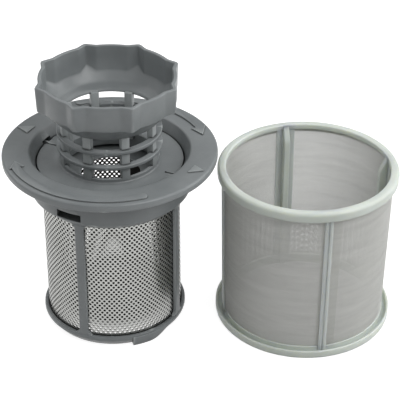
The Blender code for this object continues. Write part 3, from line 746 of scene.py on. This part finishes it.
def tube_sheet():
    """The steel tube with all its holes, each row half a pitch on from the last.

    Every hole has a six-sided cell of sheet round it. A plain band without holes is
    where the sheet's ends are welded together.
    """
    pitch = math.tau * SHEET_OUTSIDE / HOLES_A_ROW
    side = (ROW_RISE**2 - (pitch / 2) ** 2) / (2 * ROW_RISE)
    peak = ROW_RISE - side
    # Faces between a cell's corners, 0 to 5, and its hole's rim, 6 to 13
    cell_faces = (
        (0, 1, 7, 6),
        (1, 8, 7),
        (1, 2, 8),
        (2, 9, 8),
        (2, 3, 9),
        (3, 10, 9),
        (3, 4, 11, 10),
        (4, 12, 11),
        (4, 5, 12),
        (5, 13, 12),
        (5, 0, 13),
        (0, 6, 13),
    )
    vertices = []
    faces = []
    known = {}

    def new_vertex(angle, height, wall):
        """Wall 0 is the inner one, and wall 1 the outer one."""
        radius = SHEET_OUTSIDE if wall else SHEET_INSIDE
        px, py = polar(radius, SHEET_TURN + math.degrees(angle))
        vertices.append((FILTER_X + px, py, height))
        return len(vertices) - 1

    def vertex(half_steps, height, wall):
        """A lattice vertex, kept by its place in half pitches and its height."""
        mark = (half_steps % (2 * HOLES_A_ROW), round(height, 3), wall)
        if mark not in known:
            known[mark] = new_vertex(half_steps * math.pi / HOLES_A_ROW, height, wall)
        return known[mark]

    for row in range(HOLE_ROWS):
        height = FIRST_ROW + ROW_RISE * row
        for column in range(HOLES_A_ROW):
            centre = 2 * column + (row + 1) % 2
            corners = [
                (centre + 1, height - side),
                (centre + 1, height + side),
                (centre, height + peak),
                (centre - 1, height + side),
                (centre - 1, height - side),
                (centre, height - peak),
            ]
            azimuth = (SHEET_TURN + centre * 180.0 / HOLES_A_ROW) % 360.0
            if SEAM_START < azimuth < SEAM_END:
                for wall in (0, 1):
                    faces.append(tuple(vertex(*corner, wall) for corner in corners))
                continue
            rims = []
            for wall in (0, 1):
                points = [vertex(*corner, wall) for corner in corners]
                rim = []
                for k in range(8):
                    across, up = polar(HOLE_RADIUS, -22.5 + 45 * k)
                    distance = centre * pitch / 2 + across
                    rim.append(new_vertex(distance / SHEET_OUTSIDE, height + up, wall))
                points += rim
                faces += [tuple(points[i] for i in face) for face in cell_faces]
                rims.append(rim)
            inside, outside = rims
            for k in range(8):
                m = (k + 1) % 8
                faces.append((outside[k], outside[m], inside[m], inside[k]))

    def end_level(step, row, sign):
        """The height where the first or last row's cells end."""
        reach = peak if (step - row) % 2 else side
        return FIRST_ROW + ROW_RISE * row + sign * reach

    # Plain margins at both ends, and the two cut edges
    for row, edge, sign in ((0, SHEET_LOW, -1), (HOLE_ROWS - 1, SHEET_HIGH, 1)):
        for step in range(2 * HOLES_A_ROW):
            here = end_level(step, row, sign)
            there = end_level(step + 1, row, sign)
            cut = {}
            for wall in (0, 1):
                cut[wall] = [vertex(step + 1, edge, wall), vertex(step, edge, wall)]
                start = [vertex(step, here, wall), vertex(step + 1, there, wall)]
                faces.append(tuple(start + cut[wall]))
            faces.append((cut[0][1], cut[0][0], cut[1][0], cut[1][1]))
    return vertices, faces


def make_tube(material, inside):
    """The tube, bright outside, with painted shade on its inner side and in its holes.
    """
    mesh = new_mesh("perforated_tube_look", [tube_sheet()])
    piece = new_piece(
        "perforated_tube", mesh, material, math.radians(40)
    )
    mesh.materials.append(inside)
    middle = (SHEET_OUTSIDE + SHEET_INSIDE) / 2 * MM
    points = [vertex.co for vertex in mesh.vertices]
    # Faces on the inner side and in the holes get the dark copy of the steel, as painted
    # shade
    for face in mesh.polygons:
        corners = [points[i] for i in face.vertices]
        if min(math.hypot(at.x - FILTER_X * MM, at.y) for at in corners) < middle:
            face.material_index = 1
    return piece


# ---------------------------------------------------------------- insert with the grip


def lobed(apex, circle, blur):
    """Radii round the grip: pointed lobes on a circle, softened over a few degrees."""
    half = math.radians(LOBE_HALF_ANGLE)
    lobe = 360.0 / LOBE_COUNT
    raw = []
    for i in range(GRIP_POINTS):
        nearest = (360.0 * i / GRIP_POINTS + lobe / 2) % lobe - lobe / 2
        away = math.radians(abs(nearest))
        raw.append(max(circle, apex * math.sin(half) / math.sin(half + away)))
    step = 360.0 / GRIP_POINTS
    reach = int(3 * blur / step) + 1
    weights = [
        math.exp(-0.5 * (k * step / blur) ** 2) for k in range(-reach, reach + 1)
    ]
    total = sum(weights)
    soft = []
    for i in range(GRIP_POINTS):
        near = (raw[(i + k - reach) % GRIP_POINTS] for k in range(len(weights)))
        soft.append(sum(w * radius for w, radius in zip(weights, near)) / total)
    return soft


def grip_ring():
    """The lobed ring with its rounded lip, and the funnel that leads to the neck."""
    outer_top = lobed(39.45, 36.1, 1.2)
    outer_low = lobed(39.0, 35.95, 1.2)
    inner = lobed(36.95, 34.0, 1.0)
    rings = []

    def ring(radii, heights):
        """Adds a ring. A number stands for the same number all the way round."""
        if not isinstance(radii, list):
            radii = [radii] * GRIP_POINTS
        if not isinstance(heights, list):
            heights = [heights] * GRIP_POINTS
        points = []
        for i, (radius, height) in enumerate(zip(radii, heights)):
            px, py = polar(radius, FILTER_TURN + 360.0 * i / GRIP_POINTS)
            points.append((FILTER_X + px, py, height))
        rings.append(points)

    def less(radii, amount):
        return [radius - amount for radius in radii]

    def between(first, second, share):
        return [a + (b - a) * share for a, b in zip(first, second)]

    def funnel(radii, above=0.0):
        return [GRIP_FLOOR + FUNNEL_SLOPE * (radius - 34.0) + above for radius in radii]

    ring(less(outer_low, 0.5), 133.2)
    ring(less(outer_low, 0.15), 133.35)
    ring(outer_low, 133.75)
    ring(between(outer_low, outer_top, 0.5), 140.0)
    ring(outer_top, GRIP_TOP)
    for k in range(1, 5):
        turn = math.radians(90 * k / 4)
        back = 0.8 * (1 - math.cos(turn))
        ring(less(outer_top, back), GRIP_TOP + 0.8 * math.sin(turn))
    for k in range(4, 0, -1):
        turn = math.radians(90 * k / 4)
        back = -0.7 * (1 - math.cos(turn))
        ring(less(inner, back), GRIP_TOP + 0.1 + 0.7 * math.sin(turn))
    ring(inner, GRIP_TOP + 0.1)
    ring(inner, 141.0)
    ring(inner, funnel(inner, 0.6))
    ring(less(inner, 0.12), funnel(inner, 0.2))
    foot = less(inner, 0.5)
    ring(foot, funnel(foot, 0.02))
    middle = between(foot, [31.8] * GRIP_POINTS, 0.6)
    ring(middle, funnel(middle))
    for radius in (31.2, 30.1):
        ring(radius, funnel([radius])[0])
    throat = ((29.3, 127.5), (28.6, 127.15), (26.9, 126.6), (25.9, 126.1))
    throat += ((25.1, 125.6), (24.7, 125.1), (24.6, 124.7), (24.6, 124.3))
    underside = ((27.3, 124.3), (27.7, 124.5), (31.5, 128.8), (35.0, 132.9))
    for radius, height in throat + underside:
        ring(radius, height)
    return loft(rings, closed=True)


def insert_disc():
    """The disc with its collar and spigot, and the spigot's floor round the outlet."""
    outline = filleted(
        [
            (24.6, 99.9, 0.3),
            (26.35, 99.9, 0.3),
            (26.35, 97.5, 2.1),
            (33.0, 97.5),
            (39.2, 97.5, 0.35),
            (39.2, 93.0, 0.2),
            (36.0, 93.0, 0.1),
            (36.0, 88.0, 0.4),
            (15.9, 88.0, 0.3),
            (15.9, 89.2, 0.4),
            (34.4, 89.2, 0.4),
            (34.4, 93.0, 0.4),
            (26.4, 93.0, 0.4),
            (26.4, 91.4, 0.3),
            (24.6, 91.4, 0.3),
        ]
    )
    shell = revolve(FILTER_X, outline, 200)
    cutters = [block(at, 32.6, 41.0, 1.3, 91.0, 99.5) for at in SLIT_AZIMUTHS]
    cutters += [block(at, 38.3, 41.3, 7.6, 90.0, 99.9) for at in NOTCH_AZIMUTHS]
    # Slits and edge cuts overlap, so they are cut one after another
    for cutter in cutters:
        shell = carve(shell, [cutter])
    return shell


def neck_fin(low, high):
    outline = [(28.0, high, 0.4), (28.0, low, 0.4), (24.6, low, 0.2), (24.6, high, 0.2)]
    return revolve(FILTER_X, filleted(outline, 3), 160)


def make_insert(material):
    shells = [insert_disc(), grip_ring()]
    shells += [neck_fin(114.9, 116.9), neck_fin(106.0, 108.0)]
    for k in range(POST_COUNT):
        azimuth = FILTER_TURN + 360 / POST_COUNT * k
        shells.append(block(azimuth, 22.9, 26.4, 4.5, 96.8, 125.2, 0.4))
    shells += [block(at, 37.2, 42.2, 1.2, 94.0, 97.4, 0.3) for at in TAB_AZIMUTHS]
    mesh = new_mesh("coarse_insert_look", shells)
    return new_piece("coarse_insert", mesh, material)


# ---------------------------------------------------------------- fine sleeve


def mesh_radius(height):
    """The outside of the woven tube, which widens a little upward."""
    return MESH_FOOT_RADIUS + MESH_FLARE * (height - MESH_LOW)


def sleeve_ring():
    outline = filleted(
        [
            (48.8, 93.2, 1.8),
            (48.8, 87.5, 1.2),
            (46.4, 87.5, 0.3),
            (46.4, 90.1, 0.2),
            (44.2, 90.1, 0.4),
            (44.2, 93.2, 0.8),
        ],
        6,
    )
    return revolve(SLEEVE_X, outline, 220)


def sleeve_foot():
    """The foot ring, with a trough outside the mesh."""
    outline = filleted(
        [
            (48.9, 4.8, 0.45),
            (48.9, 0.0, 1.3),
            (43.0, 0.0, 0.4),
            (43.0, 5.6, 0.6),
            (45.2, 5.6, 0.5),
            (45.2, 1.8, 0.4),
            (47.7, 1.8, 0.4),
            (47.7, 4.8, 0.45),
        ],
        4,
    )
    return revolve(SLEEVE_X, outline, 220)


def outer_rib(height):
    """Section of an outer rib, with a shallow groove down its middle."""
    half = [
        (0.02, -2.21),
        (0.6, -2.21),
        (0.85, -2.08),
        (0.95, -1.83),
        (0.95, -0.64),
        (0.8, -0.42),
        (0.5, -0.3),
    ]
    shape = half + [(0.45, 0.0)] + mirrored(half) + [(0.02, 0.0)]
    return [(mesh_radius(height) + out, side) for out, side in shape]


def inner_band(height):
    """Section of an inner band, with a tall guide ridge down its middle.

    The ridge's face is upright, and slopes back to the ring above.
    """
    ridge = RIDGE_RADIUS + max(0.0, height - RIDGE_BEND) * RIDGE_SLOPE
    face = ridge - mesh_radius(height)
    half = [
        (-0.42, -5.25),
        (-1.0, -5.25),
        (-1.25, -5.0),
        (-1.3, -4.6),
        (-1.3, -1.9),
        (-1.5, -1.65),
        (face + 0.35, -1.6),
        (face, -1.25),
    ]
    shape = half + mirrored(half) + [(-0.42, 0.0)]
    return [(mesh_radius(height) + out, side) for out, side in shape]


def make_sleeve_frame(material):
    rib_heights = [1.2 + 7.25 * i for i in range(13)]
    band_heights = (1.2, 12.0, 24.0, 36.0, 48.0, 60.0, 72.0, 80.0, 84.0)
    band_heights += (85.5, 88.0, 90.3, 92.6)
    rib = [(height, outer_rib(height)) for height in rib_heights]
    band = [(height, inner_band(height)) for height in band_heights]
    shells = [sleeve_ring(), sleeve_foot()]
    for k in range(RIB_COUNT):
        azimuth = SLEEVE_TURN + 360 / RIB_COUNT * k
        shells.append(strip(SLEEVE_X, azimuth, rib))
        shells.append(strip(SLEEVE_X, azimuth + BAND_TURN, band))
    mesh = new_mesh("sleeve_frame_look", shells)
    return new_piece("sleeve_frame", mesh, material)


def make_sleeve_mesh(material):
    """The woven tube, with a UV map in millimetres for the weave."""
    work = bmesh.new()
    layer = work.loops.layers.uv.new("weave")
    walls = []
    for inset in (0.0, MESH_WALL):
        rows = []
        for j in range(MESH_ROWS + 1):
            height = MESH_LOW + (MESH_HIGH - MESH_LOW) * j / MESH_ROWS
            row = []
            for i in range(MESH_SEGMENTS):
                azimuth = SLEEVE_TURN + 360.0 * i / MESH_SEGMENTS
                px, py = polar(mesh_radius(height) - inset, azimuth)
                row.append(work.verts.new((SLEEVE_X + px, py, height)))
            rows.append((height, row))
        walls.append(rows)
    bands = [(wall[j], wall[j + 1]) for wall in walls for j in range(MESH_ROWS)]
    bands += [(walls[0][j], walls[1][j]) for j in (0, MESH_ROWS)]
    for (low, first), (high, second) in bands:
        for i in range(MESH_SEGMENTS):
            m = (i + 1) % MESH_SEGMENTS
            face = work.faces.new((first[i], first[m], second[m], second[i]))
            places = ((i, low), (i + 1, low), (i + 1, high), (i, high))
            for loop, (step, height) in zip(face.loops, places):
                loop[layer].uv = (MESH_GIRTH * step / MESH_SEGMENTS, height)
    bmesh.ops.recalc_face_normals(work, faces=work.faces)
    mesh = bpy.data.meshes.new("sleeve_mesh_look")
    work.to_mesh(mesh)
    work.free()
    return new_piece("sleeve_mesh", mesh, material, math.radians(60))


# ---------------------------------------------------------------- stage


def add_camera():
    camera = bpy.data.objects.new("camera", bpy.data.cameras.new("camera"))
    bpy.context.scene.collection.objects.link(camera)
    camera.data.sensor_width = 36.0
    camera.data.lens = CAMERA_LENS
    camera.data.clip_start = 0.01
    forward = Vector((0.0, math.cos(CAMERA_TILT), -math.sin(CAMERA_TILT)))
    up = Vector((0.0, math.sin(CAMERA_TILT), math.cos(CAMERA_TILT)))
    right = Vector((1.0, 0.0, 0.0))
    turned_right = right * math.cos(CAMERA_ROLL) + up * math.sin(CAMERA_ROLL)
    turned_up = up * math.cos(CAMERA_ROLL) - right * math.sin(CAMERA_ROLL)
    place = Matrix((turned_right, turned_up, -forward)).transposed().to_4x4()
    place.translation = Vector(CAMERA_PLACE)
    camera.matrix_world = place
    bpy.context.scene.camera = camera
    bpy.context.scene.view_settings.view_transform = "Standard"


def add_softbox(name, azimuth, elevation, power):
    """A square softbox, turned to the middle of the pair."""
    light = bpy.data.lights.new(name, "AREA")
    light.shape = "SQUARE"
    light.size = LAMP_SIZE
    light.energy = power
    lamp = bpy.data.objects.new(name, light)
    level, rise = polar(LAMP_DISTANCE, elevation)
    direction = Vector((*polar(level, azimuth), rise))
    lamp.location = Vector(LAMP_AIM) + direction
    lamp.rotation_euler = direction.to_track_quat("Z", "Y").to_euler()
    bpy.context.scene.collection.objects.link(lamp)


def add_world():
    """A white background, and much less of its light on the pieces."""
    world = bpy.data.worlds.new("studio")
    world.use_nodes = True
    tree = world.node_tree
    white = (1.0, 1.0, 1.0, 1.0)
    soft = tree.nodes["Background"]
    soft.inputs["Color"].default_value = white
    soft.inputs["Strength"].default_value = WORLD_LIGHT
    backdrop = tree.nodes.new("ShaderNodeBackground")
    backdrop.inputs["Color"].default_value = white
    backdrop.inputs["Strength"].default_value = 1.0
    path = tree.nodes.new("ShaderNodeLightPath")
    shown = tree.nodes.new("ShaderNodeMath")
    shown.operation = "MAXIMUM"
    tree.links.new(path.outputs["Is Camera Ray"], shown.inputs[0])
    tree.links.new(path.outputs["Is Transmission Ray"], shown.inputs[1])
    mix = tree.nodes.new("ShaderNodeMixShader")
    tree.links.new(shown.outputs[0], mix.inputs[0])
    tree.links.new(soft.outputs[0], mix.inputs[1])
    tree.links.new(backdrop.outputs[0], mix.inputs[2])
    tree.links.new(mix.outputs[0], tree.nodes["World Output"].inputs["Surface"])
    bpy.context.scene.world = world


def add_floor():
    mesh = bpy.data.meshes.new("floor")
    size = FLOOR_HALF_SIZE
    mesh.from_pydata(
        [(-size, -size, 0), (size, -size, 0), (size, size, 0), (-size, size, 0)],
        [],
        [(0, 1, 2, 3)],
    )
    mesh.materials.append(floor_material())
    floor = bpy.data.objects.new("floor", mesh)
    bpy.context.scene.collection.objects.link(floor)


add_camera()
add_world()
add_floor()
for lamp_name, lamp_azimuth, lamp_elevation, lamp_power in LAMPS:
    add_softbox(lamp_name, lamp_azimuth, lamp_elevation, lamp_power)

grey = grey_plastic()
make_body(grey)
make_tube(perforated_steel(), shaded_steel())
make_insert(grey)
make_sleeve_frame(natural_plastic())
make_sleeve_mesh(woven_steel())
